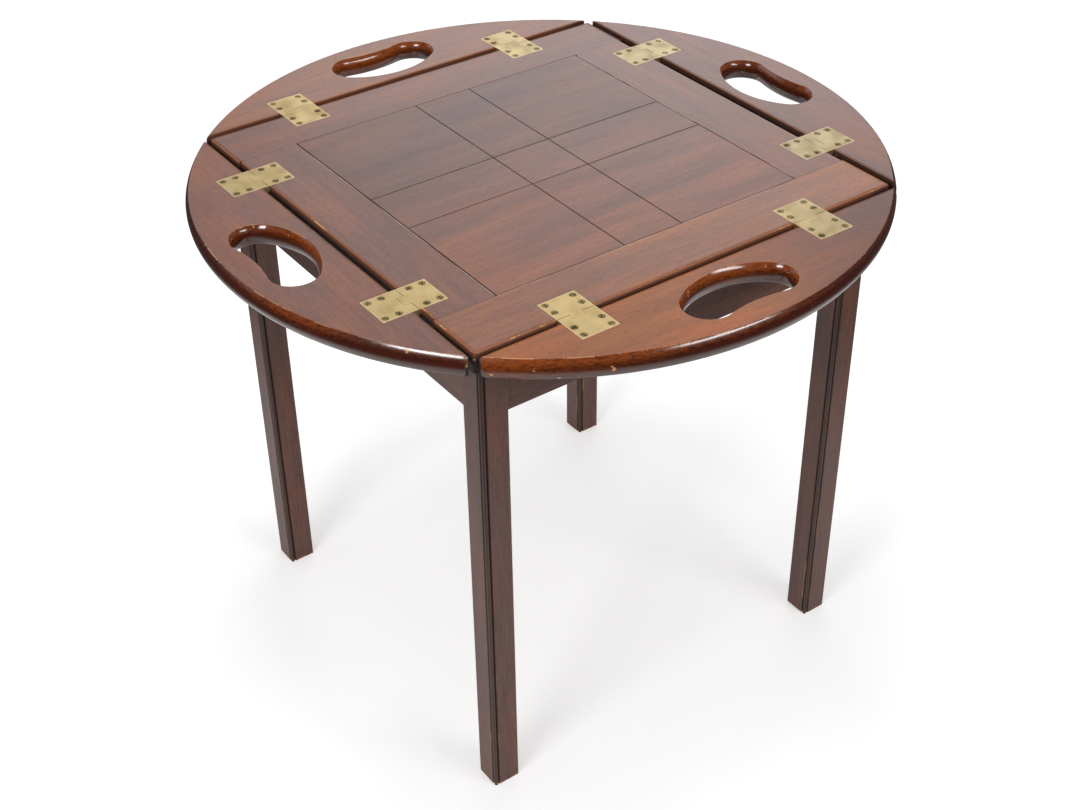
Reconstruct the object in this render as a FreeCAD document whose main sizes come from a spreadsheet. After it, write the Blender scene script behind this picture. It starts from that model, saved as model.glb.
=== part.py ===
"""Butler's tray table: a beaded stand, a lift-off tray and four leaves that fold up on flush brass hinges.

All lengths are millimetres. The floor is z = 0 and the middle of the tray is over the origin.
Pieces that belong to one side of the table are drawn for the right side (outward is +X, the edge runs
along Y) and turned about Z into place. Pieces of one corner are drawn for the back right corner.
"""
import FreeCAD, Part
import math
import os
import Sketcher
from types import SimpleNamespace

SIZES = (
    ("table_height", 525.0, "floor to the top of the tray"),
    ("tray_side", 460.0, "side of the square tray"),
    ("top_thick", 20.0, "thickness of tray frame and leaves"),
    ("frame_width", 60.0, "width of rails and stiles"),
    ("stile_setback", 2.0, "outer edge of a stile behind the rail ends"),
    ("frame_round", 2.5, "round on the outer top edge of the frame"),
    ("corner_round", 3.5, "round on the upright corners of the tray"),
    ("panel_under", 7.0, "underside of the panel above the underside of the frame"),
    ("tongue_thick", 6.0, "thickness of panel tongue and stub tenons"),
    ("tongue_length", 6.0, "reach of the panel tongue into the frame"),
    ("groove_room", 1.0, "free depth behind the tongue"),
    ("groove_stop", 12.0, "wood left at the end of a rail groove"),
    ("joint_clear", 0.1, "clearance of tongues, tenons and let-in plates"),
    ("stile_seam", 1.2, "open seam between panel and stile"),
    ("rail_seam", 0.7, "open seam between panel and rail"),
    ("score_place", 32.0, "scored lines from the middle of the panel"),
    ("score_width", 1.2, "width of a scored line"),
    ("score_depth", 0.9, "depth of a scored line"),
    ("leaf_gap", 6.0, "gap between tray and leaf"),
    ("leaf_end_clear", 0.5, "leaf ends short of the tray corner"),
    ("rim_beyond", 6.7, "round rim beyond the tray corners"),
    ("nose_depth", 3.7, "swell of the rim and the hand hole edges at the middle of their height"),
    ("arris_round", 0.8, "round where the swelling edges meet the top and the underside"),
    ("leaf_round", 1.0, "round on the inner edges of a leaf, top and underside"),
    ("grip_width", 52.0, "width of the hand hole at its round ends"),
    ("grip_rim", 28.0, "wood between the hand hole ends and the rim"),
    ("grip_radius", 20.0, "radius of the hand hole ends"),
    ("grip_spread", 70.0, "distance between the centres of the hand hole ends"),
    ("grip_hollow", 4.3, "hollow of the hand hole on the rim side"),
    ("hinge_length", 38.0, "hinge along the edge"),
    ("hinge_span", 63.0, "open hinge across the edge"),
    ("hinge_thick", 4.5, "thickness of the hinge plates"),
    ("hinge_corner", 100.0, "middle of a hinge from the tray corner"),
    ("pin_rise", 0.2, "pin axis closer to the top than to the wood edges"),
    ("pin_radius", 1.3, "hinge pin"),
    ("pin_fit", 0.05, "running clearance round the pin"),
    ("pin_inset", 0.3, "pin end inside the outer knuckle"),
    ("seam_clear", 0.35, "clearance round a knuckle"),
    ("stop_clear", 0.05, "clearance at the stop toe, leaf level"),
    ("knuckle_clear", 0.15, "end clearance between knuckles"),
    ("notch_clear", 0.7, "wood clear of the knuckles"),
    ("screw_head", 3.3, "head radius of a hinge screw"),
    ("screw_shank", 1.6, "shank radius of a hinge screw"),
    ("screw_bite", 8.5, "length of a hinge screw in the wood"),
    ("screw_edge", 5.0, "screws from the sides and the end of the plate"),
    ("screw_pitch", 13.0, "distance between the two rows of screws"),
    ("screw_clear", 0.1, "clearance round every screw"),
    ("leg_width", 28.0, "square leg"),
    ("leg_inset", 11.0, "outer leg faces inside the tray sides"),
    ("bead_radius", 2.0, "bead along one edge of a leg"),
    ("quirk_width", 1.0, "sunk line beside the bead"),
    ("leg_round", 2.0, "round on the plain edges of a leg"),
    ("apron_height", 60.0, "height of the aprons"),
    ("apron_thick", 16.0, "thickness of the aprons"),
    ("apron_setback", 2.0, "apron face behind the leg face"),
    ("apron_round", 1.0, "round on the lower front edge of an apron"),
    ("tenon_thick", 8.0, "thickness of apron tenons"),
    ("tenon_gap", 3.0, "wood between the two tenons in a leg"),
    ("tenon_shoulder", 8.0, "shoulder above and below a tenon"),
    ("block_arm", 36.0, "contact length of a corner block on an apron"),
    ("block_height", 40.0, "height of a corner block"),
    ("block_drop", 8.0, "top of a corner block below the apron top"),
    ("block_clear", 0.3, "corner block clear of the leg"),
    ("bolt_head", 5.0, "head radius of a corner screw"),
    ("bolt_head_high", 3.2, "head height of a corner screw"),
    ("bolt_shank", 2.2, "shank radius of a corner screw"),
    ("bolt_left", 9.3, "wood left between a corner screw and the tenons"),
    ("batten_end", 61.0, "batten end from the apron that it points at"),
    ("batten_side", 15.0, "width and height of a tray batten"),
    ("batten_clear", 8.0, "play between batten and apron"),
    ("batten_round", 2.0, "round on the lower edges of a batten"),
    ("batten_screw_end", 40.0, "batten screws from the batten ends"),
    ("batten_screw_left", 1.0, "wood between a batten screw and the panel groove"),
)
SIDES = (
    ("right", 0, ("back", "front")),
    ("back", 90, ("left", "right")),
    ("left", 180, ("front", "back")),
    ("front", 270, ("right", "left")),
)
CORNERS = (("back_right", 0), ("back_left", 90), ("front_left", 180), ("front_right", 270))
UP = FreeCAD.Vector(0, 0, 1)

doc = FreeCAD.newDocument("butler_tray_table")
sheet = doc.addObject("Spreadsheet::Sheet", "sizes")
for row, (alias, number, note) in enumerate(SIZES, start=1):
    sheet.set("A%d" % row, alias)
    sheet.set("B%d" % row, str(number))
    sheet.set("C%d" % row, note)
    sheet.setAlias("B%d" % row, alias)
doc.recompute()


class Size:
    """A length with its number and the sheet expression that drives it."""

    def __init__(self, value, text):
        self.value = value
        self.text = text

    def join(self, sign, other, value):
        return Size(value, "(%s %s %s)" % (self.text, sign, other.text))

    def __add__(self, other):
        other = as_size(other)
        return self.join("+", other, self.value + other.value)

    def __sub__(self, other):
        other = as_size(other)
        return self.join("-", other, self.value - other.value)

    def __mul__(self, other):
        other = as_size(other)
        return self.join("*", other, self.value * other.value)

    def __truediv__(self, other):
        other = as_size(other)
        return self.join("/", other, self.value / other.value)

    def __neg__(self):
        return Size(-self.value, "(0 - %s)" % self.text)

    def root(self):
        return Size(math.sqrt(self.value), "sqrt(%s)" % self.text)


def as_size(item):
    """Plain numbers become sizes too."""
    if isinstance(item, Size):
        return item
    return Size(float(item), "(%r)" % float(item))


def from_sheet(alias):
    return Size(float(sheet.get(alias)), "sizes." + alias)


d = SimpleNamespace(**{alias: from_sheet(alias) for alias, number, note in SIZES})
ZERO = as_size(0)

# Levels and reaches that several pieces share
tray_half = d.tray_side / 2
tray_under = d.table_height - d.top_thick
rail_inner = tray_half - d.frame_width
stile_outer = tray_half - d.stile_setback
stile_inner = stile_outer - d.frame_width
groove_depth = d.tongue_length + d.groove_room
leaf_inner = tray_half + d.leaf_gap
leaf_half = tray_half - d.leaf_end_clear
rim_radius = tray_half * math.sqrt(2) + d.rim_beyond
half_thick = d.top_thick / 2
nose_radius = (half_thick * half_thick + d.nose_depth * d.nose_depth) / (d.nose_depth * 2)
shoulder_run = ((nose_radius - d.arris_round) * (nose_radius - d.arris_round)
                - (half_thick - d.arris_round) * (half_thick - d.arris_round)).root()
shoulder_depth = nose_radius - shoulder_run
leg_reach = tray_half - d.leg_inset
leg_inner = leg_reach - d.leg_width
apron_outer = leg_reach - d.apron_setback
apron_inner = apron_outer - d.apron_thick
apron_low = tray_under - d.apron_height
apron_mid = apron_outer - d.apron_thick / 2
tenon_room = d.leg_width - d.apron_setback - (d.apron_thick + d.tenon_thick) / 2
tenon_length = tenon_room - d.tenon_gap
bolt_bite = tenon_room * math.sqrt(2) - d.bolt_left
batten_outer = apron_inner - d.batten_clear
batten_half = apron_inner - d.batten_end
batten_screw_place = batten_half - d.batten_screw_end
batten_screw_bite = d.panel_under - d.batten_screw_left

# The hinge axis lies in the middle of the gap; the knuckle reaches the top of both wood edges
axis_reach = tray_half + d.leaf_gap / 2
pin_depth = d.leaf_gap / 2 - d.pin_rise
knuckle = (d.leaf_gap * d.leaf_gap / 4 + pin_depth * pin_depth).root()
knuckle_seat = knuckle + d.seam_clear
toe_reach = knuckle_seat - d.stop_clear
plate_reach = d.hinge_span / 2
hinge_place = tray_half - d.hinge_corner
centre_length = d.hinge_length / 3
screw_hole = d.screw_shank + d.screw_clear
screw_length = d.hinge_thick + d.screw_bite

# The hand hole lies between the straight edge and the rim of a leaf
grip_end = rim_radius - d.grip_rim
grip_near = grip_end - d.grip_width
grip_reach = grip_end - d.grip_radius
grip_far = grip_end - d.grip_hollow


def new_body(label):
    body = doc.addObject("PartDesign::Body", label)
    body.Label = label
    return body


def place(thing, turn, height=ZERO, x=ZERO, y=ZERO):
    """Turn a piece about Z in quarter turns and bind its position to the sheet."""
    spots = {0: (x, y), 90: (-y, x), 180: (-x, -y), 270: (y, -x)}
    spot = spots[turn] + (height,)
    numbers = FreeCAD.Vector(*[item.value for item in spot])
    thing.Placement = FreeCAD.Placement(numbers, FreeCAD.Rotation(UP, turn))
    for axis, item in zip("xyz", spot):
        thing.setExpression("Placement.Base." + axis, item.text)


def sketch(body, role, offset=ZERO):
    """A sketch on a plane of the body's origin, moved along the plane's normal."""
    drawing = body.newObject("Sketcher::SketchObject", body.Name + "_sketch")
    plane = [item for item in body.Origin.OriginFeatures if item.Role == role][0]
    drawing.AttachmentSupport = [(plane, "")]
    drawing.MapMode = "FlatFace"
    drawing.AttachmentOffset = FreeCAD.Placement(UP * offset.value, FreeCAD.Rotation())
    drawing.setExpression("AttachmentOffset.Base.z", offset.text)
    return drawing


def bind(drawing, constraint, item):
    index = drawing.addConstraint(constraint)
    drawing.setExpression("Constraints[%d]" % index, item.text)


def fix(drawing, piece, end, x, y):
    """Hold one point of a sketch at sheet-driven coordinates."""
    for kind, item, axis in (("DistanceX", x, -2), ("DistanceY", y, -1)):
        if abs(item.value) < 1e-9:
            drawing.addConstraint(Sketcher.Constraint("PointOnObject", piece, end, axis))
        else:
            bind(drawing, Sketcher.Constraint(kind, piece, end, item.value), item)


def polygon(drawing, points):
    """A closed polygon with every corner held."""
    points = [(as_size(x), as_size(y)) for x, y in points]
    first = drawing.GeometryCount
    count = len(points)
    spots = [FreeCAD.Vector(x.value, y.value, 0) for x, y in points]
    for index in range(count):
        drawing.addGeometry(Part.LineSegment(spots[index], spots[(index + 1) % count]))
    for index in range(count):
        following = first + (index + 1) % count
        drawing.addConstraint(Sketcher.Constraint("Coincident", first + index, 2, following, 1))
    for index, (x, y) in enumerate(points):
        fix(drawing, first + index, 1, x, y)


def rectangle(drawing, x0, x1, y0, y1):
    polygon(drawing, ((x0, y0), (x1, y0), (x1, y1), (x0, y1)))


def circle(drawing, x, y, radius):
    x = as_size(x)
    y = as_size(y)
    round_line = Part.Circle(FreeCAD.Vector(x.value, y.value, 0), UP, radius.value)
    index = drawing.addGeometry(round_line)
    fix(drawing, index, 3, x, y)
    bind(drawing, Sketcher.Constraint("Radius", index, radius.value), radius)


def arc(drawing, x, y, radius, start, end):
    """An arc with centre and radius held; angles in degrees, counterclockwise."""
    x = as_size(x)
    y = as_size(y)
    whole = Part.Circle(FreeCAD.Vector(x.value, y.value, 0), UP, radius.value)
    index = drawing.addGeometry(Part.ArcOfCircle(whole, math.radians(start), math.radians(end)))
    fix(drawing, index, 3, x, y)
    bind(drawing, Sketcher.Constraint("Radius", index, radius.value), radius)
    return index


def square_ends(drawing, index, start, end):
    """Hold arc ends that lie straight beside, above or below the centre."""
    for point, angle in ((1, start), (2, end)):
        kind = "Horizontal" if angle % 180 == 0 else "Vertical"
        drawing.addConstraint(Sketcher.Constraint(kind, index, point, index, 3))


def end_of(drawing, index, point):
    curve = drawing.Geometry[index]
    return curve.StartPoint if point == 1 else curve.EndPoint


def outline(drawing, steps):
    """A closed outline of held corners (x, y) and square-ended arcs (x, y, radius, start, end)."""
    arcs = {}
    for place_in_row, step in enumerate(steps):
        if len(step) == 5:
            index = arc(drawing, *step)
            square_ends(drawing, index, step[3], step[4])
            arcs[place_in_row] = index
    lines = []
    for here, step in enumerate(steps):
        there = (here + 1) % len(steps)
        ends = []
        for spot, point in ((here, 2), (there, 1)):
            if spot in arcs:
                ends.append(end_of(drawing, arcs[spot], point))
            else:
                ends.append(FreeCAD.Vector(*[as_size(item).value for item in steps[spot]], 0))
        lines.append(drawing.addGeometry(Part.LineSegment(*ends)))
    for here, line in enumerate(lines):
        there = (here + 1) % len(steps)
        if here in arcs:
            drawing.addConstraint(Sketcher.Constraint("Coincident", arcs[here], 2, line, 1))
        else:
            fix(drawing, line, 1, *[as_size(item) for item in steps[here]])
        if there in arcs:
            drawing.addConstraint(Sketcher.Constraint("Coincident", line, 2, arcs[there], 1))
        else:
            drawing.addConstraint(Sketcher.Constraint("Coincident", line, 2, lines[there], 1))


def grow(body, drawing, length, middle=False):
    """Pad a sketch along its normal, or to both sides of its plane."""
    pad = body.newObject("PartDesign::Pad", body.Name + "_pad")
    pad.Profile = drawing
    pad.SideType = "Symmetric" if middle else "One side"
    pad.Length = length.value
    pad.setExpression("Length", length.text)
    drawing.Visibility = False
    return pad


def sink(body, drawing, depth):
    """Pocket a sketch that lies on a face: the same depth on both sides of the plane."""
    pocket = body.newObject("PartDesign::Pocket", body.Name + "_pocket")
    pocket.Profile = drawing
    pocket.SideType = "Symmetric"
    pocket.Length = depth.value * 2
    pocket.setExpression("Length", (depth * 2).text)
    drawing.Visibility = False
    return pocket


def drill(body, radius, length, start, direction):
    """A slanting bore from a start point along a direction."""
    bore = body.newObject("PartDesign::SubtractiveCylinder", body.Name + "_bore")
    bore.Radius = radius.value
    bore.setExpression("Radius", radius.text)
    bore.Height = length.value
    bore.setExpression("Height", length.text)
    numbers = FreeCAD.Vector(*[item.value for item in start])
    bore.Placement = FreeCAD.Placement(numbers, FreeCAD.Rotation(UP, direction))
    for axis, item in zip("xyz", start):
        bore.setExpression("Placement.Base." + axis, item.text)


def edges_of(body, wanted):
    """Names of the edges of the body's last feature whose middle point passes a test."""
    doc.recompute()
    names = []
    for number, edge in enumerate(body.Tip.Shape.Edges, start=1):
        middle = edge.valueAt((edge.FirstParameter + edge.LastParameter) / 2)
        if wanted(edge, middle):
            names.append("Edge%d" % number)
    return names


def soften(body, radius, wanted):
    """Round chosen edges."""
    names = edges_of(body, wanted)
    before = body.Tip
    rounding = body.newObject("PartDesign::Fillet", body.Name + "_round")
    rounding.Base = (before, names)
    rounding.Radius = radius.value
    rounding.setExpression("Radius", radius.text)


def near(number, item):
    return abs(number - item.value) < 1e-4


def leg(corner, turn):
    """A square leg, mortised for two aprons, with a bead and two quirks on its front left edge."""
    body = new_body("leg_" + corner)
    half = d.leg_width / 2
    centre = half - d.bead_radius
    flat = half - d.bead_radius * 2 - d.quirk_width
    plain = half - d.leg_round
    beaded = (2 - turn // 90) % 4
    steps = []
    for quarter, (along, across) in enumerate(((1, 1), (-1, 1), (-1, -1), (1, -1))):
        start = quarter * 90
        if quarter != beaded:
            steps.append((plain * along, plain * across, d.leg_round, start, start + 90))
            continue
        before = (half * along, flat * across)
        after = (flat * along, half * across)
        if quarter % 2:
            before, after = after, before
        bead = (centre * along, centre * across, d.bead_radius, start - 90, start + 180)
        steps.extend((before, bead, after))
    profile = sketch(body, "XY_Plane")
    outline(profile, steps)
    grow(body, profile, tray_under)
    seat_low = apron_low + d.tenon_shoulder - d.joint_clear
    seat_high = tray_under - d.tenon_shoulder + d.joint_clear
    from_axis = apron_mid - (leg_reach - half)
    seat_half = d.tenon_thick / 2 + d.joint_clear
    for role, offset in (("XZ_Plane", half), ("YZ_Plane", -half)):
        mortise = sketch(body, role, offset)
        rectangle(mortise, from_axis - seat_half, from_axis + seat_half, seat_low, seat_high)
        sink(body, mortise, tenon_length + d.joint_clear)
    bolt_high = tray_under - d.block_drop - d.block_height / 2
    start = (-half - d.bead_radius, -half - d.bead_radius, bolt_high)
    slant = d.bead_radius * math.sqrt(2)
    drill(body, d.bolt_shank + d.screw_clear, slant + bolt_bite + d.joint_clear, start,
          FreeCAD.Vector(1, 1, 0))
    place(body, turn, x=leg_reach - half, y=leg_reach - half)
    return body


def apron(side, turn):
    """A flat apron with a tenon at each end and a softened lower front edge."""
    body = new_body("apron_" + side)
    board = sketch(body, "XY_Plane")
    rectangle(board, apron_inner, apron_outer, -leg_inner, leg_inner)
    grow(body, board, d.apron_height)
    soften(body, d.apron_round, lambda edge, at: near(at.x, apron_outer) and near(at.z, ZERO))
    tenon = sketch(body, "XY_Plane", d.tenon_shoulder)
    half = d.tenon_thick / 2
    reach = leg_inner + tenon_length
    rectangle(tenon, apron_mid - half, apron_mid + half, -reach, reach)
    grow(body, tenon, d.apron_height - d.tenon_shoulder * 2)
    place(body, turn, apron_low)
    return body


def corner_block(corner, turn):
    """A glue block across an inside corner, notched round the leg and bored for its screw."""
    body = new_body("corner_block_" + corner)
    notch = leg_inner - d.block_clear
    tail = notch - d.block_arm
    shape = sketch(body, "XY_Plane")
    polygon(shape, ((apron_inner, notch), (notch, notch), (notch, apron_inner),
                    (tail, apron_inner), (apron_inner, tail)))
    grow(body, shape, d.block_height)
    middle = (apron_inner + tail) / 2 - d.block_clear
    drill(body, d.bolt_shank + d.screw_clear, d.block_arm * 2, (middle, middle, d.block_height / 2),
          FreeCAD.Vector(1, 1, 0))
    place(body, turn, tray_under - d.block_drop - d.block_height)
    return body


def hinge_seats(body, own):
    """Let two hinge halves into an edge piece: plate seats, knuckle notches and pilot holes."""
    half = d.hinge_length / 2 + d.joint_clear
    plate_end = axis_reach + (plate_reach + d.joint_clear) * own
    notch_end = axis_reach + (knuckle + d.notch_clear) * own
    for reach, depth in ((plate_end, d.hinge_thick), (notch_end, pin_depth + knuckle + d.notch_clear)):
        seat = sketch(body, "XY_Plane", d.top_thick)
        for way in (1, -1):
            middle = hinge_place * way
            rectangle(seat, axis_reach, reach, middle - half, middle + half)
        sink(body, seat, depth)
    pilots = sketch(body, "XY_Plane", d.top_thick)
    for way in (1, -1):
        for x, y in screw_spots():
            circle(pilots, axis_reach + x * own, hinge_place * way + y, screw_hole)
    sink(body, pilots, screw_length + d.joint_clear)


def screw_spots():
    """Places of the four screws of one hinge half, out from the axis and along the edge."""
    along = d.hinge_length / 2 - d.screw_edge
    far = plate_reach - d.screw_edge
    return [(out, along * way) for out in (far - d.screw_pitch, far) for way in (1, -1)]


def rail(side, turn):
    """A frame rail over the full side, grooved for panel and stub tenons."""
    body = new_body("tray_rail_" + side)
    board = sketch(body, "XY_Plane")
    rectangle(board, rail_inner, tray_half, -tray_half, tray_half)
    grow(body, board, d.top_thick)
    soften(body, d.corner_round, lambda edge, at: near(at.x, tray_half) and near(abs(at.y), tray_half))
    soften(body, d.frame_round, lambda edge, at: near(at.z, d.top_thick) and not near(at.x, rail_inner))
    groove = sketch(body, "YZ_Plane", rail_inner)
    end = stile_outer - d.groove_stop + d.joint_clear
    rectangle(groove, -end, end, d.panel_under, d.panel_under + d.tongue_thick + d.joint_clear)
    sink(body, groove, groove_depth)
    hinge_seats(body, -1)
    pilots = sketch(body, "XY_Plane")
    for way in (1, -1):
        circle(pilots, batten_outer - d.batten_side / 2, batten_screw_place * way, screw_hole)
    sink(body, pilots, batten_screw_bite + d.joint_clear)
    place(body, turn, tray_under)
    return body


def stile(side, turn):
    """A frame stile between the rails, with stub tenons and a groove for the panel."""
    body = new_body("tray_stile_" + side)
    board = sketch(body, "XY_Plane")
    rectangle(board, stile_inner, stile_outer, -rail_inner, rail_inner)
    grow(body, board, d.top_thick)
    soften(body, d.frame_round, lambda edge, at: near(at.x, stile_outer) and near(at.z, d.top_thick))
    groove = sketch(body, "YZ_Plane", stile_inner)
    rectangle(groove, -rail_inner, rail_inner, d.panel_under,
              d.panel_under + d.tongue_thick + d.joint_clear)
    sink(body, groove, groove_depth)
    tenon = sketch(body, "XY_Plane", d.panel_under)
    reach = rail_inner + groove_depth - d.joint_clear
    rectangle(tenon, stile_inner + groove_depth, stile_outer - d.groove_stop, -reach, reach)
    grow(body, tenon, d.tongue_thick)
    hinge_seats(body, -1)
    place(body, turn, tray_under)
    return body


def panel():
    """The tray panel: a flush field with a tongue all round and two scored lines each way."""
    body = new_body("tray_panel")
    tongue = sketch(body, "XY_Plane", d.panel_under)
    wide = stile_inner + d.tongue_length
    deep = rail_inner + d.tongue_length
    rectangle(tongue, -wide, wide, -deep, deep)
    grow(body, tongue, d.tongue_thick)
    field = sketch(body, "XY_Plane", d.panel_under)
    wide = stile_inner - d.stile_seam
    deep = rail_inner - d.rail_seam
    rectangle(field, -wide, wide, -deep, deep)
    grow(body, field, d.top_thick - d.panel_under)
    for role, length in (("XZ_Plane", deep), ("YZ_Plane", wide)):
        lines = sketch(body, role)
        for way in (1, -1):
            middle = d.score_place * way
            polygon(lines, ((middle, d.top_thick - d.score_depth),
                            (middle + d.score_width / 2, d.top_thick),
                            (middle - d.score_width / 2, d.top_thick)))
        sink(body, lines, length + d.tongue_length)
    place(body, 0, tray_under)
    return body


def batten(side, turn):
    """A locating batten under a rail, just inside the apron."""
    body = new_body("tray_batten_" + side)
    bar = sketch(body, "XY_Plane")
    rectangle(bar, batten_outer - d.batten_side, batten_outer, -batten_half, batten_half)
    grow(body, bar, d.batten_side)
    soften(body, d.batten_round, lambda edge, at: near(at.z, ZERO))
    holes = sketch(body, "XY_Plane")
    for way in (1, -1):
        circle(holes, batten_outer - d.batten_side / 2, batten_screw_place * way, screw_hole)
    sink(body, holes, d.batten_side * 2)
    countersink(body, lambda at: near(at.z, ZERO))
    place(body, turn, tray_under - d.batten_side)
    return body


def countersink(body, at_face):
    """Widen screw holes at one face for flush heads."""
    def is_hole(edge, at):
        return hasattr(edge.Curve, "Radius") and near(edge.Curve.Radius, screw_hole) and at_face(at)
    names = edges_of(body, is_hole)
    before = body.Tip
    cone = body.newObject("PartDesign::Chamfer", body.Name + "_countersink")
    cone.Base = (before, names)
    cone.Size = d.screw_head.value - d.screw_shank.value
    cone.setExpression("Size", (d.screw_head - d.screw_shank).text)


def grip(drawing):
    """The kidney outline of a hand hole: two round ends, a full curve inside, a hollow curve outside."""
    half = d.grip_spread / 2
    inside = grip_reach - grip_near
    outside = grip_far - grip_reach
    radius_sq = d.grip_radius * d.grip_radius
    full = (inside * inside + half * half - radius_sq) / ((inside - d.grip_radius) * 2)
    hollow = (outside * outside + half * half - radius_sq) / ((d.grip_radius - outside) * 2)
    full_x = grip_near.value + full.value
    hollow_x = grip_far.value + hollow.value
    full_lean = math.degrees(math.atan2(half.value, full_x - grip_reach.value))
    hollow_lean = math.degrees(math.atan2(half.value, hollow_x - grip_reach.value))
    high = arc(drawing, grip_reach, half, d.grip_radius, -hollow_lean, 180 - full_lean)
    low = arc(drawing, grip_reach, -half, d.grip_radius, 180 + full_lean, 360 + hollow_lean)
    shapes = ((full_x, full, 180 - full_lean, 180 + full_lean),
              (hollow_x, hollow, 180 - hollow_lean, 180 + hollow_lean))
    curves = []
    for x, radius, start, end in shapes:
        whole = Part.Circle(FreeCAD.Vector(x, 0, 0), UP, radius.value)
        bow = Part.ArcOfCircle(whole, math.radians(start), math.radians(end))
        curves.append(drawing.addGeometry(bow))
        bind(drawing, Sketcher.Constraint("Radius", curves[-1], radius.value), radius)
    inner, outer = curves
    for first, end, second, begin in ((high, 2, inner, 1), (inner, 2, low, 1),
                                      (low, 2, outer, 2), (outer, 1, high, 1)):
        drawing.addConstraint(Sketcher.Constraint("Tangent", first, end, second, begin))


def nose(drawing, crest, corners):
    """The line of a swelling edge, eased at both faces of a board and closed through held corners."""
    rise = half_thick - d.arris_round
    lean = math.degrees(math.asin(rise.value / (nose_radius - d.arris_round).value))
    bow = arc(drawing, crest - nose_radius, half_thick, nose_radius, -lean, lean)
    eased = []
    for level, start, end in ((d.arris_round, 270, 360 - lean), (d.top_thick - d.arris_round, lean, 90)):
        spot = FreeCAD.Vector((crest - shoulder_depth).value, level.value, 0)
        whole = Part.Circle(spot, UP, d.arris_round.value)
        eased.append(drawing.addGeometry(Part.ArcOfCircle(whole, math.radians(start), math.radians(end))))
        bind(drawing, Sketcher.Constraint("Radius", eased[-1], d.arris_round.value), d.arris_round)
        bind(drawing, Sketcher.Constraint("DistanceY", eased[-1], 3, level.value), level)
    low, high = eased
    drawing.addConstraint(Sketcher.Constraint("Tangent", low, 2, bow, 1))
    drawing.addConstraint(Sketcher.Constraint("Tangent", bow, 2, high, 1))
    drawing.addConstraint(Sketcher.Constraint("Vertical", low, 1, low, 3))
    drawing.addConstraint(Sketcher.Constraint("Vertical", high, 2, high, 3))
    spots = [FreeCAD.Vector(x.value, y.value, 0) for x, y in corners]
    path = [end_of(drawing, high, 2)] + spots + [end_of(drawing, low, 1)]
    lines = [drawing.addGeometry(Part.LineSegment(*ends)) for ends in zip(path, path[1:])]
    around = [high] + lines + [low]
    for first, second in zip(around, around[1:]):
        drawing.addConstraint(Sketcher.Constraint("Coincident", first, 2, second, 1))
    for line, (x, y) in zip(lines, corners):
        fix(drawing, line, 2, x, y)


def leaf(side, turn):
    """A leaf: a turned rim, sawn to its straight edge and ends, with a hand hole and hinge seats."""
    body = new_body("leaf_" + side)
    rim = sketch(body, "XZ_Plane")
    nose(rim, rim_radius, ((tray_half, d.top_thick), (tray_half, ZERO)))
    turned = body.newObject("PartDesign::Revolution", body.Name + "_turned")
    turned.Profile = rim
    turned.ReferenceAxis = (rim, ["V_Axis"])
    turned.Midplane = True
    turned.Angle = 90
    rim.Visibility = False
    waste = sketch(body, "XY_Plane")
    past = rim_radius + d.leaf_gap
    polygon(waste, ((ZERO, -past), (past, -past), (past, -leaf_half), (leaf_inner, -leaf_half),
                    (leaf_inner, leaf_half), (past, leaf_half), (past, past), (ZERO, past)))
    sink(body, waste, d.top_thick * 2)
    hole = sketch(body, "XY_Plane")
    grip(hole)
    sink(body, hole, d.top_thick * 2)
    cutter = sketch(body, "XZ_Plane")
    flat_edge = grip_near - shoulder_depth
    within = grip_near + d.arris_round
    over = d.top_thick + d.arris_round
    under = -d.arris_round
    nose(cutter, grip_near, ((flat_edge, over), (within, over), (within, under), (flat_edge, under)))
    swell = body.newObject("PartDesign::SubtractivePipe", body.Name + "_swell")
    swell.Profile = cutter
    swell.Spine = hole
    cutter.Visibility = False
    corners = sketch(body, "XZ_Plane")
    back, front = leaf_inner - d.leaf_round, leaf_inner + d.leaf_round
    low, high = d.top_thick - d.leaf_round, d.top_thick + d.leaf_round
    outline(corners, ((front, low, d.leaf_round, 90, 180), (back, low), (back, high), (front, high)))
    low, high = -d.leaf_round, d.leaf_round
    outline(corners, ((front, high, d.leaf_round, 180, 270), (front, low), (back, low), (back, high)))
    sink(body, corners, tray_half)
    hinge_seats(body, 1)
    place(body, turn, tray_under)
    return body


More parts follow.
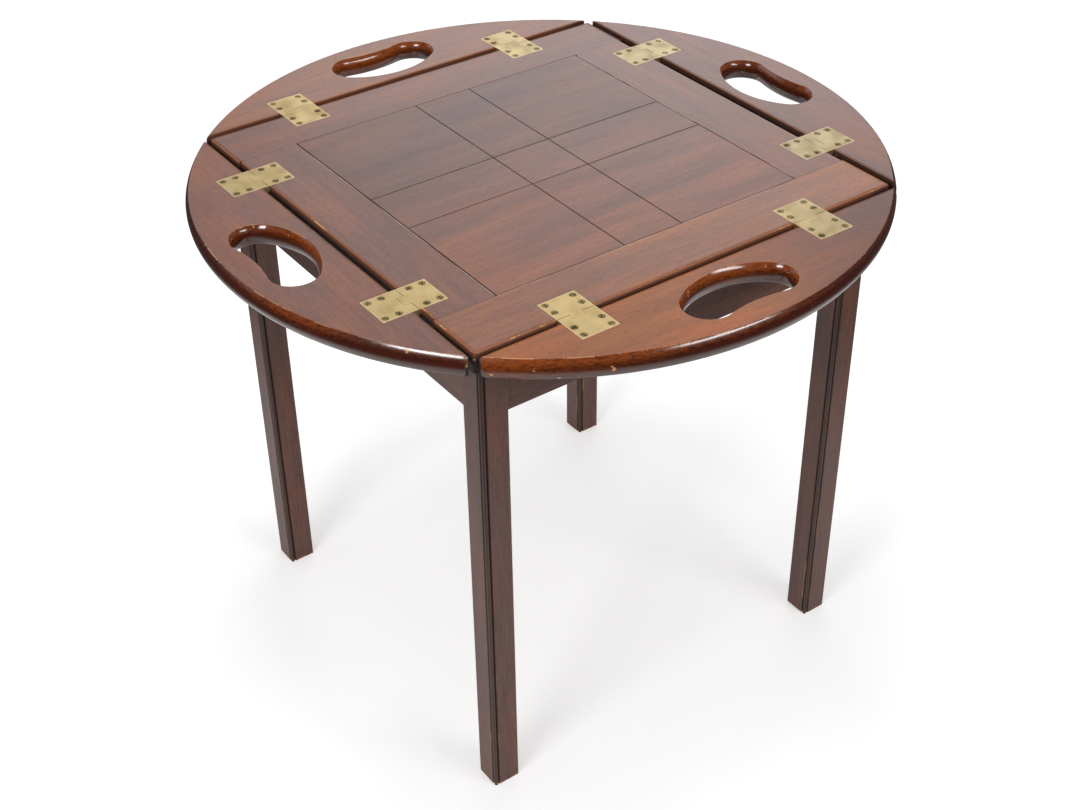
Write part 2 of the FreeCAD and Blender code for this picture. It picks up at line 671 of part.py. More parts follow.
def hinge_half(label, own, turn, spot):
    """One half of a flush hinge, drawn round the pin axis; own is 1 for the leaf side, -1 for the tray."""
    body = new_body(label)
    along = d.hinge_length / 2
    plate = sketch(body, "XY_Plane", pin_depth - d.hinge_thick)
    ends = (ZERO, plate_reach) if own > 0 else (-plate_reach, ZERO)
    rectangle(plate, ends[0], ends[1], -along, along)
    grow(body, plate, d.hinge_thick)
    barrel = sketch(body, "XZ_Plane")
    circle(barrel, 0, 0, knuckle)
    grow(body, barrel, d.hinge_length, middle=True)
    toe = sketch(body, "XZ_Plane")
    under = pin_depth - d.hinge_thick
    ends = (-toe_reach, ZERO) if own > 0 else (ZERO, toe_reach)
    rectangle(toe, ends[0], ends[1], under, ZERO)
    grow(body, toe, d.hinge_length, middle=True)
    above = sketch(body, "XZ_Plane")
    past = knuckle_seat * 2
    rectangle(above, -past, past, pin_depth, past)
    sink(body, above, d.hinge_length)
    if own > 0:
        rooms = ((ZERO, centre_length / 2 + d.knuckle_clear),)
        steps = ((-past, -past), (knuckle_seat, -past), (ZERO, ZERO, knuckle_seat, 0, 90),
                 (-past, knuckle_seat))
    else:
        reach = centre_length / 2 + d.knuckle_clear
        middle = centre_length / 2 + reach
        rooms = ((middle, reach), (-middle, reach))
        steps = ((past, -past), (past, knuckle_seat), (ZERO, ZERO, knuckle_seat, 90, 180),
                 (-knuckle_seat, -past))
    for middle, reach in rooms:
        room = sketch(body, "XZ_Plane", middle)
        outline(room, steps)
        sink(body, room, reach)
    bore = sketch(body, "XZ_Plane")
    circle(bore, 0, 0, d.pin_radius + d.pin_fit)
    sink(body, bore, d.hinge_length)
    holes = sketch(body, "XY_Plane")
    for x, y in screw_spots():
        circle(holes, x * own, y, screw_hole)
    sink(body, holes, d.hinge_thick * 2)
    countersink(body, lambda at: near(at.z, pin_depth))
    place(body, turn, d.table_height - pin_depth, axis_reach, spot)
    return body


def flush_screw(label, length):
    """A countersunk screw, head at z = 0, point down."""
    body = new_body(label)
    profile = sketch(body, "XZ_Plane")
    cone = d.screw_head - d.screw_shank
    polygon(profile, ((ZERO, ZERO), (ZERO, -length), (d.screw_shank, -length),
                      (d.screw_shank, -cone), (d.screw_head, ZERO)))
    return spin(body, profile)


def spin(body, profile):
    """Turn a profile once round its upright axis."""
    turned = body.newObject("PartDesign::Revolution", body.Name + "_turned")
    turned.Profile = profile
    turned.ReferenceAxis = (profile, ["V_Axis"])
    turned.Angle = 360
    profile.Visibility = False
    return body


def corner_bolt():
    """A round-headed screw, head seat at z = 0, point down."""
    body = new_body("corner_bolt_pattern")
    profile = sketch(body, "XZ_Plane")
    through = (leg_inner - (apron_inner + leg_inner - d.block_clear - d.block_arm) / 2) * math.sqrt(2)
    length = through + bolt_bite
    polygon(profile, ((ZERO, d.bolt_head_high), (ZERO, -length), (d.bolt_shank, -length),
                      (d.bolt_shank, ZERO), (d.bolt_head, ZERO), (d.bolt_head * 0.6, d.bolt_head_high)))
    return spin(body, profile)


def hinge_pin():
    """A plain pin along the hinge axis."""
    pin = doc.addObject("Part::Cylinder", "hinge_pin_pattern")
    length = d.hinge_length - d.pin_inset * 2
    pin.Radius = d.pin_radius.value
    pin.setExpression("Radius", d.pin_radius.text)
    pin.Height = length.value
    pin.setExpression("Height", length.text)
    return pin


def group(label, pattern, spots):
    """Copies of one fastener at many places, kept as separate solids of one node."""
    copies = []
    for spot in spots:
        copy = pattern.Shape.copy()
        copy.Placement = spot.multiply(pattern.Placement)
        copies.append(copy)
    node = doc.addObject("Part::Feature", label)
    node.Label = label
    node.Shape = Part.makeCompound(copies)
    return node


def turned_spot(turn, x, y, z, tilt=FreeCAD.Rotation()):
    """A placement drawn for the right side, turned to another side of the table."""
    about = FreeCAD.Placement(FreeCAD.Vector(), FreeCAD.Rotation(UP, turn))
    return about.multiply(FreeCAD.Placement(FreeCAD.Vector(x.value, y.value, z.value), tilt))


nodes = []
for corner, turn in CORNERS:
    nodes.append(leg(corner, turn))
    nodes.append(corner_block(corner, turn))
for side, turn, ends in SIDES:
    nodes.append(apron(side, turn))
    nodes.append(leaf(side, turn))
    if side in ("front", "back"):
        nodes.append(rail(side, turn))
        nodes.append(batten(side, turn))
    else:
        nodes.append(stile(side, turn))
    for end, way in zip(ends, (1, -1)):
        name = "hinge_%s_%s_" % (side, end)
        nodes.append(hinge_half(name + "tray_half", -1, turn, hinge_place * way))
        nodes.append(hinge_half(name + "leaf_half", 1, turn, hinge_place * way))
nodes.append(panel())
hinge_screw = flush_screw("hinge_screw_pattern", screw_length)
batten_screw = flush_screw("batten_screw_pattern", d.batten_side + batten_screw_bite)
bolt = corner_bolt()
pin = hinge_pin()
doc.recompute()

tray_screw_spots = []
pin_spots = []
batten_spots = []
along_edge = FreeCAD.Rotation(FreeCAD.Vector(1, 0, 0), -90)
upward = FreeCAD.Rotation(FreeCAD.Vector(1, 0, 0), 180)
for side, turn, ends in SIDES:
    leaf_screw_spots = []
    for way in (1, -1):
        middle = hinge_place * way
        start = middle - d.hinge_length / 2 + d.pin_inset
        pin_spots.append(turned_spot(turn, axis_reach, start, d.table_height - pin_depth, along_edge))
        for x, y in screw_spots():
            tray_screw_spots.append(turned_spot(turn, axis_reach - x, middle + y, d.table_height))
            leaf_screw_spots.append(turned_spot(turn, axis_reach + x, middle + y, d.table_height))
    nodes.append(group("leaf_%s_hinge_screws" % side, hinge_screw, leaf_screw_spots))
    if side in ("front", "back"):
        for way in (1, -1):
            batten_spots.append(turned_spot(turn, batten_outer - d.batten_side / 2,
                                            batten_screw_place * way,
                                            tray_under - d.batten_side, upward))
nodes.append(group("tray_hinge_screws", hinge_screw, tray_screw_spots))
nodes.append(group("hinge_pins", pin, pin_spots))
nodes.append(group("batten_screws", batten_screw, batten_spots))

bolt_spots = []
into_corner = FreeCAD.Rotation(UP * -1, FreeCAD.Vector(1, 1, 0))
face = (apron_inner + leg_inner - d.block_clear - d.block_arm) / 2
bolt_high = tray_under - d.block_drop - d.block_height / 2
for corner, turn in CORNERS:
    bolt_spots.append(turned_spot(turn, face, face, bolt_high, into_corner))
nodes.append(group("corner_block_screws", bolt, bolt_spots))
doc.recompute()

for thing in doc.Objects:
    if "Invalid" in thing.State or "Error" in thing.State:
        raise RuntimeError("%s did not build: %s" % (thing.Label, thing.State))
os.makedirs("parts", exist_ok=True)
for node in nodes:
    if node.Shape.isNull() or not node.Shape.isValid():
        raise RuntimeError(node.Label + " has no valid shape")
    node.Shape.exportStep("parts/%s.step" % node.Label)
print(len(nodes), "pieces written")
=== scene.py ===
# %% [markdown]
# # A butler's tray table
# The object is a low occasional table in red-brown lacquered wood. Its top is a square tray with
# four hinged leaves. The leaves lie open here, so that the top is a round, and they fold up to
# make the sides of a tray that lifts off its stand.
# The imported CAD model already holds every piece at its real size. This file dresses that model:
# it gives each piece a finish, and swaps the plain screws for slotted ones.

import math
import random

import bmesh
import bpy
from mathutils import Matrix, Vector


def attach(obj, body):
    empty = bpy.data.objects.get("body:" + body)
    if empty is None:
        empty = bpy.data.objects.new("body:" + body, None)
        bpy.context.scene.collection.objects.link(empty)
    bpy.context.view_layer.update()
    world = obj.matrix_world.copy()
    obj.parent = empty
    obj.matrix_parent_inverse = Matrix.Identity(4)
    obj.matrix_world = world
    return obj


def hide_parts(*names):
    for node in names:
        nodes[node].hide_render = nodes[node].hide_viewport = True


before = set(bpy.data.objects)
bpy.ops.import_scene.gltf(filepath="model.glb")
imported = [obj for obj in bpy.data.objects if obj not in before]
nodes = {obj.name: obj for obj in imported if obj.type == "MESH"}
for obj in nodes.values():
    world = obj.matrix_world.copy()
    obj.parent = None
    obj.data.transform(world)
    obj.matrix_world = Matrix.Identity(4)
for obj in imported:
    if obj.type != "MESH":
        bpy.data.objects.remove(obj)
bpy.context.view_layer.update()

# %% [markdown]
# ## Camera
# The photograph looks down on one corner of the table from about chest height. A camera could be set
# by eye in the viewport. Here, matching points of the table with the photograph gave the angles, the
# distance and the lens, so they are written down as numbers.
# A camera looks along its own -Z, so its matrix is built from three directions: right, up and back.

# %% Stand the camera where the photograph was taken
AROUND, ABOVE, LEAN = (math.radians(turn) for turn in (-35.3, 36.25, -0.8))
AIM = Vector((0, 0, 0.315))
AIM_LEFT, AIM_LOWER, DISTANCE = 0.0028, 0.0611, 1.7048
SENSOR_WIDTH, LENS = 36, 55.84

back = Vector((math.sin(AROUND) * math.cos(ABOVE),
               -math.cos(AROUND) * math.cos(ABOVE),
               math.sin(ABOVE)))
level = Vector((math.cos(AROUND), math.sin(AROUND), 0))
upright = back.cross(level)
right = level * math.cos(LEAN) + upright * math.sin(LEAN)
up = upright * math.cos(LEAN) - level * math.sin(LEAN)

camera = bpy.data.objects.new("camera", bpy.data.cameras.new("camera"))
camera.data.sensor_width = SENSOR_WIDTH
camera.data.lens = LENS
stand = Matrix((right, up, back)).transposed().to_4x4()
stand.translation = AIM - right * AIM_LEFT - up * AIM_LOWER + back * DISTANCE
camera.matrix_world = stand
bpy.context.scene.collection.objects.link(camera)
bpy.context.scene.camera = camera
print("camera at", [round(place, 3) for place in stand.translation])

# %% [markdown]
# ## Building shaders by code
# A finish is a small graph of nodes. It could be drawn by hand in the Shader Editor, but code can
# repeat a step with other values, and the finishes here share most of their steps. The first helpers
# turn a screen colour into the linear numbers that a shader works with, and add a node with its
# sockets filled. The short ones after them wrap the sums, steps and mixes.

# %% Helpers for colours and nodes
def shade(red, green, blue):
    """A screen colour, 0 to 255, as a linear colour."""
    parts = (part / 255 for part in (red, green, blue))
    return *(p / 12.92 if p <= 0.04045 else ((p + 0.055) / 1.055) ** 2.4 for p in parts), 1.0


def put(tree, kind, sockets=None, **options):
    """Add one node; a socket is filled with a number, a colour or a link."""
    node = tree.nodes.new("ShaderNode" + kind)
    for name, value in options.items():
        setattr(node, name, value)
    for name, value in (sockets or {}).items():
        if isinstance(value, bpy.types.NodeSocket):
            tree.links.new(value, node.inputs[name])
        else:
            node.inputs[name].default_value = value
    return node


def new_finish(name):
    """A material with one Principled shader, ready to be wired."""
    finish = bpy.data.materials.new(name)
    finish.use_nodes = True
    finish.node_tree.nodes.clear()
    surface = put(finish.node_tree, "BsdfPrincipled")
    put(finish.node_tree, "OutputMaterial", {"Surface": surface.outputs[0]})
    return finish, finish.node_tree, surface


print("helpers for nodes ready")

# %% Helpers for sums, steps and mixes
def sum_helper(operation):
    """A helper that adds one Math node and returns its result."""
    def result(tree, first, second=0.0):
        return put(tree, "Math", {0: first, 1: second}, operation=operation).outputs[0]
    return result


plus, minus, times = sum_helper("ADD"), sum_helper("SUBTRACT"), sum_helper("MULTIPLY")
larger, smaller = sum_helper("MAXIMUM"), sum_helper("MINIMUM")
unsigned, sign_of = sum_helper("ABSOLUTE"), sum_helper("SIGN")


def ease(tree, value, start, end, low=0.0, high=1.0):
    """A smooth step: low up to start, high from end on."""
    step = put(tree, "MapRange", {"Value": value, "From Min": start, "From Max": end,
                                  "To Min": low, "To Max": high}, interpolation_type="SMOOTHSTEP")
    return step.outputs["Result"]


def fade(tree, value, start, end, high=1.0):
    """A smooth step down: high up to start, nothing from end on."""
    return ease(tree, value, start, end, high, 0.0)


def colour_mix(tree, factor, first, second, blend_type="MIX"):
    mix = put(tree, "Mix", {0: factor, 6: first, 7: second}, data_type="RGBA", blend_type=blend_type)
    return mix.outputs[2]


def number_mix(tree, factor, first, second):
    return put(tree, "Mix", {0: factor, 2: first, 3: second}).outputs[0]


def length_of(tree, place):
    return put(tree, "VectorMath", {0: place}, operation="LENGTH").outputs["Value"]


print("helpers for sums ready")

# %% [markdown]
# ## Floor
# The table stands on a sheet of white paper in a dim room. Strong lamps could make the paper white,
# but they would bleach the wood as well. So the floor takes the real shadows under plain light, and
# a glow that only the camera and reflections see lifts it to white. For the camera the white goes on
# for ever, in reflections it ends a step away, as the paper does.

# %% Make the floor
WHITE = (1, 1, 1, 1)
PAPER_WHITE, FAR_GREY, DARK_ROOM = ((tone, tone, tone, 1) for tone in (0.86, 0.4, 0.07))
GLOW_NEAR, GLOW_FAR, GLOW_MIRRORED = 0.43, 0.8, 0.2
FLOOR_HALF = 9


def to_the_eye(tree, ray):
    """A mask of the rays that come straight to the camera."""
    return larger(tree, ray["Is Camera Ray"], ray["Is Transmission Ray"])


paper, tree, surface = new_finish("white_paper")
surface.inputs["Roughness"].default_value = 0.9
surface.inputs["Specular IOR Level"].default_value = 0.1
surface.inputs["Emission Color"].default_value = WHITE
away = length_of(tree, put(tree, "TexCoord").outputs["Object"])
ray = put(tree, "LightPath").outputs
lit_paper = colour_mix(tree, ease(tree, away, 0.6, 1.2), PAPER_WHITE, FAR_GREY)
mirrored_paper = colour_mix(tree, ease(tree, away, 0.55, 1.1), PAPER_WHITE, DARK_ROOM)
paper_colour = colour_mix(tree, ray["Is Glossy Ray"], lit_paper, mirrored_paper)
tree.links.new(paper_colour, surface.inputs["Base Color"])
for_camera = times(tree, to_the_eye(tree, ray), ease(tree, away, 0.4, 1.2, GLOW_NEAR, GLOW_FAR))
for_mirror = times(tree, ray["Is Glossy Ray"], fade(tree, away, 0.5, 0.9, GLOW_MIRRORED))
tree.links.new(plus(tree, for_camera, for_mirror), surface.inputs["Emission Strength"])

sheet = bmesh.new()
bmesh.ops.create_grid(sheet, x_segments=8, y_segments=8, size=FLOOR_HALF)
floor_mesh = bpy.data.meshes.new("floor")
sheet.to_mesh(floor_mesh)
sheet.free()
floor_mesh.materials.append(paper)
floor = bpy.data.objects.new("floor", floor_mesh)
bpy.context.scene.collection.objects.link(floor)
print("floor", floor.dimensions.x, "m wide")

# %% [markdown]
# ## Room
# The world is a grey room for ordinary light. Plain grey would do for reflections too, but the lacquer
# in the photograph mirrors a bright backdrop. So in reflections the world is white in a band behind
# the table and dim elsewhere, which gives the far side of the top its pale, cool veil, strongest on
# the right, and leaves the near rim dark.

# %% Colour the room
COOL_SKY = (0.91, 0.98, 1.08, 1)
BEHIND_TABLE = (0.578, 0.816, 0)
ROOM_LIGHT, DIM_MIRROR, OPEN_WHITE = 0.34, 0.1, 1.0

world = bpy.context.scene.world or bpy.data.worlds.new("studio")
bpy.context.scene.world = world
world.use_nodes = True
tree = world.node_tree
tree.nodes.clear()
ray = put(tree, "LightPath").outputs
look = put(tree, "TexCoord").outputs["Generated"]
behind = put(tree, "VectorMath", {0: look, 1: BEHIND_TABLE}, operation="DOT_PRODUCT").outputs["Value"]
way = put(tree, "SeparateXYZ", {0: look}).outputs
height = way["Z"]
band = times(tree, ease(tree, height, 0.05, 0.3), ease(tree, height, 0.4, 0.62, 1.0, 0.1))
sweep = times(tree, ease(tree, behind, -0.3, 0.4), band)
rightward = times(tree, ease(tree, way["X"], 0.5, 0.6), ease(tree, way["Y"], 0.58, 0.68))
window = times(tree, rightward, fade(tree, height, 0.42, 0.48))
backward = ease(tree, way["Y"], 0.53, 0.64, 0.3, 1.0)
veil = times(tree, plus(tree, window, backward), sweep)
mirrored = larger(tree, veil, DIM_MIRROR)
tint = colour_mix(tree, ray["Is Glossy Ray"], WHITE, COOL_SKY)
room = number_mix(tree, ray["Is Glossy Ray"], ROOM_LIGHT, mirrored)
shown = number_mix(tree, to_the_eye(tree, ray), room, OPEN_WHITE)
sky = put(tree, "Background", {"Color": tint, "Strength": shown})
put(tree, "OutputWorld", {"Surface": sky.outputs[0]})
print("room with", len(tree.nodes), "nodes")

# %% [markdown]
# ## Softboxes
# Two low softboxes in front draw the bright lines on the rounded rims, one hangs overhead and one
# stands behind. They are area lamps, because a point lamp would show in the lacquer as a dot.

# %% Hang the softboxes
def softbox(name, place, aim, width, height, watts):
    """A rectangular lamp that faces a point."""
    lamp = bpy.data.lights.new(name, "AREA")
    lamp.shape = "RECTANGLE"
    lamp.size, lamp.size_y, lamp.energy = width, height, watts
    box = bpy.data.objects.new(name, lamp)
    box.location = place
    box.rotation_euler = (Vector(aim) - Vector(place)).to_track_quat("-Z", "Y").to_euler()
    box.visible_camera = False
    bpy.context.scene.collection.objects.link(box)


TABLE_TOP = (0, 0, 0.5)
softbox("overhead", (0.0, 0.2, 2.5), TABLE_TOP, 0.9, 0.5, 16)
softbox("left", (-1.82, -0.73, 1.5), TABLE_TOP, 0.8, 0.3, 15)
softbox("right", (0.62, -1.91, 1.4), TABLE_TOP, 1.1, 0.22, 11)
softbox("behind", (1.6, 1.75, 1.5), TABLE_TOP, 2.0, 0.9, 9)
bpy.context.scene.view_settings.view_transform = "Standard"
print("four softboxes and a grey room")

# %% [markdown]
# ## Wood grain
# The table is mahogany, a wood with straight grain, fine dark pores like short pencil strokes and
# broad bands that shift in tone. A picture of wood could be laid on, but it would stop or stretch at
# the edges, while noise fills space and runs through a board as real grain does. One node group makes
# all of that from stretched noise, because every wooden piece needs it. It takes coordinates whose
# first axis runs along the grain, so the same group serves a rail that runs left to right, a stile
# that runs front to back and a leg.

# %% Helpers for groups and noise
def node_group(name, inputs, outputs):
    """An empty group with named sockets; returns the group, its inputs and its outputs."""
    group = bpy.data.node_groups.new(name, "ShaderNodeTree")
    for way, sockets in (("INPUT", inputs), ("OUTPUT", outputs)):
        for label, kind in sockets.items():
            group.interface.new_socket(label, in_out=way, socket_type="NodeSocket" + kind)
    return group, group.nodes.new("NodeGroupInput").outputs, group.nodes.new("NodeGroupOutput").inputs


def use(tree, group, sockets):
    """Place a group in a tree; returns its outputs."""
    return put(tree, "Group", sockets, node_tree=group).outputs


def shifted(tree, place, step):
    return put(tree, "VectorMath", {0: place, 1: step}, operation="ADD").outputs[0]


def cloud(tree, place, stretch, detail=2.0):
    """Noise from 0 to 1, with so many lumps to the metre along each axis."""
    spread = put(tree, "Mapping", {"Vector": place, "Scale": stretch}).outputs[0]
    return put(tree, "TexNoise", {"Vector": spread, "Scale": 1.0, "Detail": detail}).outputs[0]


print("helpers for groups ready")

# %% Make the grain group
WARM_TINT, COOL_TINT = (1.15, 1.0, 0.78, 1), (0.9, 0.95, 1.06, 1)
GRAIN_LUMPS = {"wander": (2.2, 9), "broad": (1.1, 12), "ribbon": (6, 44), "streak": (12, 160),
               "fibre": (40, 620), "pore": (150, 1300), "patch": (10, 20)}
GRAIN_SWAY = 0.012


def grain_cloud(tree, place, kind, detail=2.0):
    """Noise with so many lumps to the metre along the grain and across it."""
    along, across = GRAIN_LUMPS[kind]
    return cloud(tree, place, (along, across, across), detail)


def make_grain():
    group, given, made = node_group(
        "wood grain",
        {"Place": "Vector", "Dark": "Color", "Light": "Color", "Stripe": "Float", "Streak": "Float"},
        {"Color": "Color", "Fibre": "Float", "Pore": "Float"})
    wander = grain_cloud(group, given["Place"], "wander", 1.0)
    bent = shifted(group, given["Place"], times(group, minus(group, wander, 0.5), GRAIN_SWAY))
    broad = grain_cloud(group, bent, "broad")
    ribbon = grain_cloud(group, bent, "ribbon")
    streak = grain_cloud(group, bent, "streak")
    fibre = grain_cloud(group, bent, "fibre", 3.0)
    pore = ease(group, grain_cloud(group, bent, "pore", 0.0), 0.60, 0.74)
    tone = 0.5
    shares = (broad, 0.35), (ribbon, given["Stripe"]), (streak, 0.2), (fibre, given["Streak"])
    for wave, share in shares:
        tone = plus(group, tone, times(group, minus(group, wave, 0.5), share))
    wood = colour_mix(group, ease(group, tone, 0.0, 1.0), given["Dark"], given["Light"])
    patch = grain_cloud(group, bent, "patch")
    bands = plus(group, times(group, ribbon, 0.3), times(group, streak, 0.2))
    hue = plus(group, times(group, patch, 0.5), bands)
    tint = colour_mix(group, ease(group, hue, 0.36, 0.64), COOL_TINT, WARM_TINT)
    tinted = colour_mix(group, 1.0, wood, tint, "MULTIPLY")
    shadowed = colour_mix(group, times(group, pore, 0.55), tinted, given["Dark"])
    for name, result in (("Color", shadowed), ("Fibre", fibre), ("Pore", pore)):
        group.links.new(result, made[name])
    return group


GRAIN = make_grain()
print("grain group with", len(GRAIN.nodes), "nodes")

# %% [markdown]
# No two boards come from the same place in a tree. Each could have a material with values of its own,
# but one number does the same: Blender gives every object a random number, and it moves the piece to
# a place of its own in the noise.

# %% Lay the grain along a piece
AXIS_ORDER = {"X": "XYZ", "Y": "YXZ", "Z": "ZXY"}
BOARD_SHIFT = 9.0


def along_grain(tree, along):
    """Coordinates that run along the grain, different for every piece, and the plain ones."""
    xyz = put(tree, "SeparateXYZ", {0: put(tree, "TexCoord").outputs["Object"]}).outputs
    run = put(tree, "CombineXYZ", {n: xyz[axis] for n, axis in enumerate(AXIS_ORDER[along])}).outputs[0]
    own = times(tree, put(tree, "ObjectInfo").outputs["Random"], BOARD_SHIFT)
    return shifted(tree, run, own), xyz


print("grain can run along", ", ".join(AXIS_ORDER))

# %% [markdown]
# ## Edges, wear and scuffs
# A lacquered edge looks different from the flat beside it: the stain is deeper, the gloss higher,
# and it is the first place to be knocked back to bare wood. The CAD rounds already turn the
# surface there, so the upright part of the surface normal, in the piece's own frame, tells a flat
# from an edge. Geometry's Pointiness could find edges too, but it depends on how finely a mesh is
# divided. A group turns the normal into masks: the whole edge, its underside, the sharp top arris,
# and the wear, which is a broken line along the arris with a few uneven chips below. A second group
# scatters small pale scuffs.

# %% Helpers for masks
def all_but(tree, mask, share=1.0):
    """One, less a share of a mask."""
    return minus(tree, 1.0, times(tree, mask, share))


def between(tree, value, rise, fall):
    """A mask that comes in over one range and goes out over another."""
    return times(tree, ease(tree, value, *rise), fade(tree, value, *fall))


def even_cloud(tree, place, lumps, detail=2.0):
    """Noise with the same number of lumps to the metre every way."""
    return cloud(tree, place, (lumps, lumps, lumps), detail)


print("helpers for masks ready")

# %% Make the edge group and the scuff group
# The upright part of the normal, at which the masks start and end.
EDGE, FLAT = 0.86, 0.985
ARRIS_STARTS, ARRIS_ENDS = (0.62, 0.75), (0.93, FLAT)
UNDERSIDE, WAIST = -0.55, 0.1
CHIPS_PER_METRE, CHIP_NUDGE = 64.0, 0.008


def make_edges():
    group, given, made = node_group(
        "turned edge", {"Chips": "Float"},
        {"Side": "Float", "Under": "Float", "Arris": "Float", "Wear": "Float"})
    coords = put(group, "TexCoord").outputs
    upright = put(group, "SeparateXYZ", {0: coords["Normal"]}).outputs["Z"]
    side = fade(group, unsigned(group, upright), EDGE, FLAT)
    under = fade(group, upright, UNDERSIDE, WAIST)
    arris = between(group, upright, ARRIS_STARTS, ARRIS_ENDS)
    rub = even_cloud(group, coords["Object"], 30)
    bite = even_cloud(group, coords["Object"], 420)
    worn = plus(group, rub, times(group, bite, 0.5))
    over_limit = minus(group, worn, all_but(group, given["Chips"], 0.2))
    line = times(group, arris, ease(group, over_limit, 0.0, 0.04))
    uneven = minus(group, bite, 0.5)
    nudged = shifted(group, coords["Object"], times(group, uneven, CHIP_NUDGE))
    pecked = put(group, "TexVoronoi", {"Vector": nudged, "Scale": CHIPS_PER_METRE}).outputs["Distance"]
    size = plus(group, times(group, given["Chips"], 0.1), times(group, uneven, 0.08))
    dot = times(group, side, ease(group, minus(group, size, pecked), 0.0, 0.03))
    wear = larger(group, line, dot)
    for name, result in (("Side", side), ("Under", under), ("Arris", arris), ("Wear", wear)):
        group.links.new(result, made[name])
    return group


def make_scuffs():
    group, given, made = node_group(
        "scuffs", {"Place": "Vector", "Amount": "Float"}, {"Scuff": "Float"})
    spot = ease(group, even_cloud(group, given["Place"], 21, 1.0), 0.70, 0.78)
    scratch = ease(group, cloud(group, given["Place"], (260, 620, 620)), 0.58, 0.68)
    mark = times(group, spot, scratch)
    group.links.new(times(group, mark, given["Amount"]), made["Scuff"])
    return group


EDGES, SCUFFS = make_edges(), make_scuffs()
print("edge group and scuff group ready")

# %% [markdown]
# ## Stain, painted light and shade on the edges of the top
# The rim and the hand holes were sanded through end grain and took more stain than the flats, so
# they are dark brown, with amber where the hands reach: the holes and the corner at the front left.
# The upper part of a rim is painted more amber, as light, and its underside darker, as painted shade.
# In the gaps beside the hinges the walls are painted shade, dark brown below, browner near the top
# and darker on the right, and their arris has a pale line, partly rub and partly painted highlight.
# Colours painted on the mesh could say all this. Distances from the middle of the table and from its
# top face do it in a few steps, and hold for all four leaves.

# %% Stain the edges and paint their light and shade
# DARK_STAIN_AND_SHADE darkens the mottle as stain and the underside of a rim as painted shade.
DEEP_STAIN, DARK_STAIN_AND_SHADE, AMBER = shade(76, 27, 8), shade(34, 12, 8), shade(142, 66, 10)
# The gap walls are painted shade: GAP_SHADE below, GAP_BROWN near the top.
GAP_SHADE, GAP_BROWN = shade(44, 25, 18), shade(112, 64, 38)
# A pale line on the arris beside the gaps: partly rub, partly painted highlight.
ARRIS_RUB_AND_HIGHLIGHT = shade(178, 118, 80)
TOP_FACE = 0.525
GAP_STARTS, GAP_ENDS = (0.2255, 0.2265), (0.2380, 0.2390)
HOLE_REACH, RIM_REACH = 0.312, 0.320


def rim_blush(tree, xyz, place, mottle):
    """How amber a rim is: in slow patches, at the near corner, in the holes, and near its top as painted
    light.
    """
    slow = even_cloud(tree, place, 6, 1.0)
    near_corner = fade(tree, plus(tree, xyz["X"], xyz["Y"]), -0.46, -0.36, 0.36)
    on_front = ease(tree, minus(tree, xyz["X"], xyz["Y"]), -0.02, 0.02)
    corner = times(tree, near_corner, on_front)
    flat = put(tree, "CombineXYZ", {"X": xyz["X"], "Y": xyz["Y"]}).outputs[0]
    hole = fade(tree, length_of(tree, flat), HOLE_REACH, RIM_REACH, 0.28)
    # Painted light: a rim is more amber near its top; lower down it is less amber, as painted shade.
    lit_upper_rim = ease(tree, xyz["Z"], TOP_FACE - 0.010, TOP_FACE - 0.002, -0.15, 0.1)
    blush = plus(tree, plus(tree, slow, corner), plus(tree, hole, lit_upper_rim))
    return plus(tree, blush, times(tree, minus(tree, mottle, 0.5), 0.35))


def edge_stain_and_shade(tree, xyz, edge):
    """Amber to deep brown along a rim, with painted light near its top and painted shade below; painted
    shade in the gaps; and a mask of the gaps.
    """
    place = put(tree, "TexCoord").outputs["Object"]
    mottle = cloud(tree, place, (190, 190, 700), 3.0)
    blush = rim_blush(tree, xyz, place, mottle)
    rim = colour_mix(tree, ease(tree, blush, 0.50, 0.92), DEEP_STAIN, AMBER)
    rim = colour_mix(tree, fade(tree, mottle, 0.36, 0.52, 0.4), rim, DARK_STAIN_AND_SHADE)
    # Painted shade: the underside of a rim is darker.
    rim = colour_mix(tree, times(tree, edge["Under"], 0.4), rim, DARK_STAIN_AND_SHADE)
    reach = larger(tree, unsigned(tree, xyz["X"]), unsigned(tree, xyz["Y"]))
    in_gap = between(tree, reach, GAP_STARTS, GAP_ENDS)
    # A pale line on the arris beside each gap: partly rub, partly painted highlight.
    rubbed = times(tree, times(tree, in_gap, edge["Arris"]), 0.5)
    rim = colour_mix(tree, rubbed, rim, ARRIS_RUB_AND_HIGHLIGHT)
    # Painted shade in the gaps: the walls are dark below, browner near the top and darker on the right.
    shadowed = times(tree, in_gap, all_but(tree, edge["Arris"]))
    lit = ease(tree, xyz["X"], 0.20, 0.22, 1.0, 0.35)
    lifted = times(tree, ease(tree, xyz["Z"], TOP_FACE - 0.008, TOP_FACE - 0.0025), lit)
    gap = colour_mix(tree, lifted, GAP_SHADE, GAP_BROWN)
    return colour_mix(tree, shadowed, rim, gap), in_gap


print("stain for the edges ready")

# %% [markdown]
# ## The lacquered top
# Panel, rails, stiles and leaves are one finish on differently cut boards, so one function makes them
# all from a few values, where separate graphs would drift apart. The board's colour comes from the
# grain group, the edge masks from the edge group, and a shallow bump from the fibres and pores, which
# show through the thin satin lacquer. The edges got more lacquer than the flats, so they are glossy.
# The panel has no edges in sight, only its scored lines, and those are dull.

# %% Helpers for the finish of the top
SATIN, EDGE_GLOSS, EDGE_POLISH, GAP_DULLNESS = 0.3, 0.15, 0.8, 0.8
PANEL_HALF = 0.168


def board_tones(tree, xyz, board, fades_to):
    """The dark and the light tone of a board; it can fade to other tones along an axis."""
    if not fades_to:
        return board
    other_board, axis, start, end = fades_to
    faded = ease(tree, xyz[axis], start, end)
    return [colour_mix(tree, faded, *pair) for pair in zip(board, other_board)]


